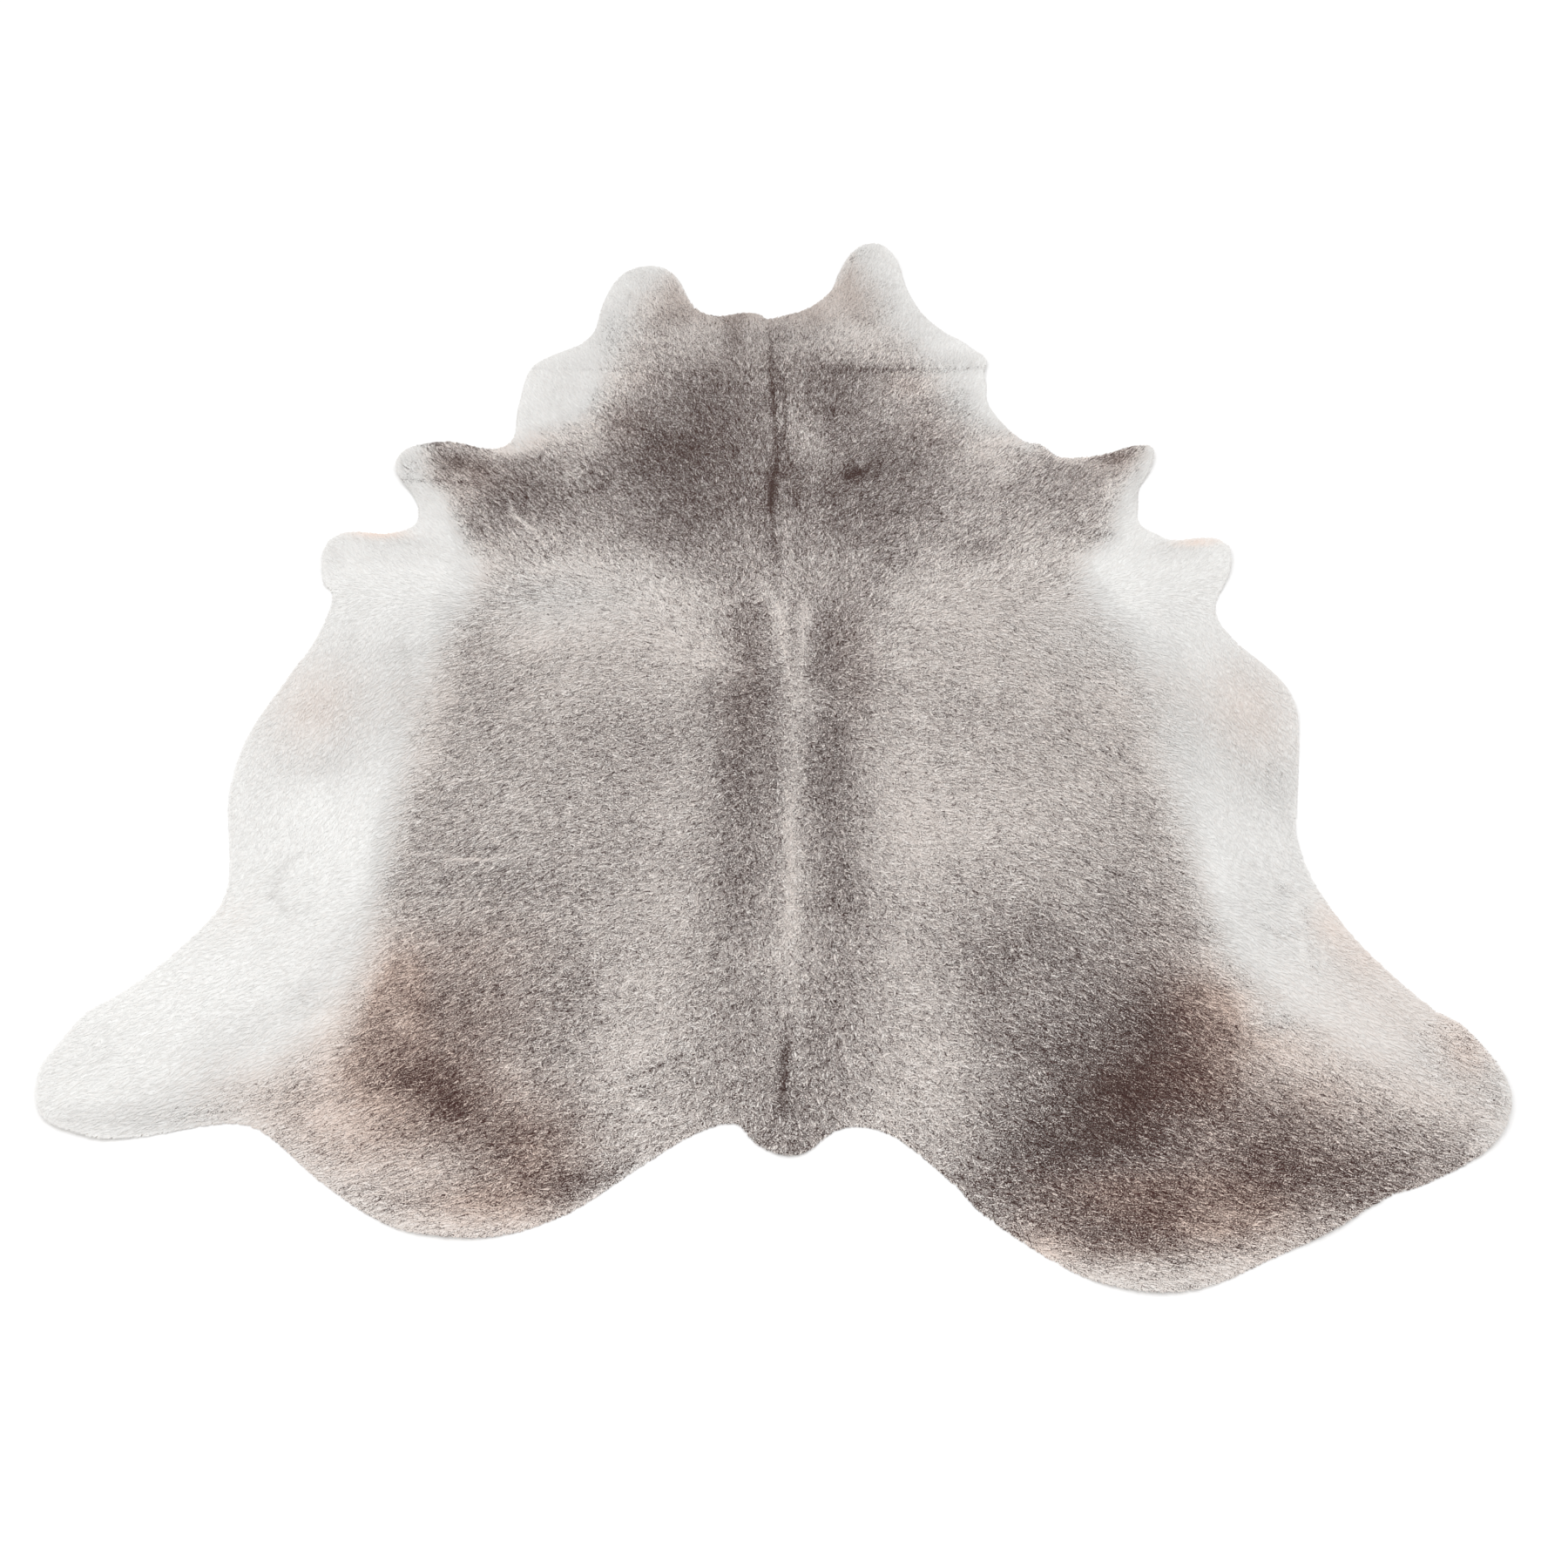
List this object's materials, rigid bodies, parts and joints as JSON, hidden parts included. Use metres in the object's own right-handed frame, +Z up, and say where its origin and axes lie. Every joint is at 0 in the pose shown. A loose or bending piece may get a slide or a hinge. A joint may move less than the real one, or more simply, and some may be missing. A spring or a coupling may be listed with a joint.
{
  "type": "cowhide rug",
  "caption": "Cowhide rug in its natural outline, lying flat, with short grey-brown hair that pales to white at the shanks and flanks.",
  "frame": {"origin": "on the floor, under the middle of the hide's box", "axes": "+X to the right of the hide seen from its tail, +Y from the tail to the neck, +Z up"},
  "size_m": [2.0932, 2.396, 0.0162],
  "materials": {
    "hide": "short dull cow hair, grey-brown with white shanks and flanks, on pale suede leather"
  },
  "bodies": {
    "root": {"hide": "hide"}
  },
  "joints": []
}
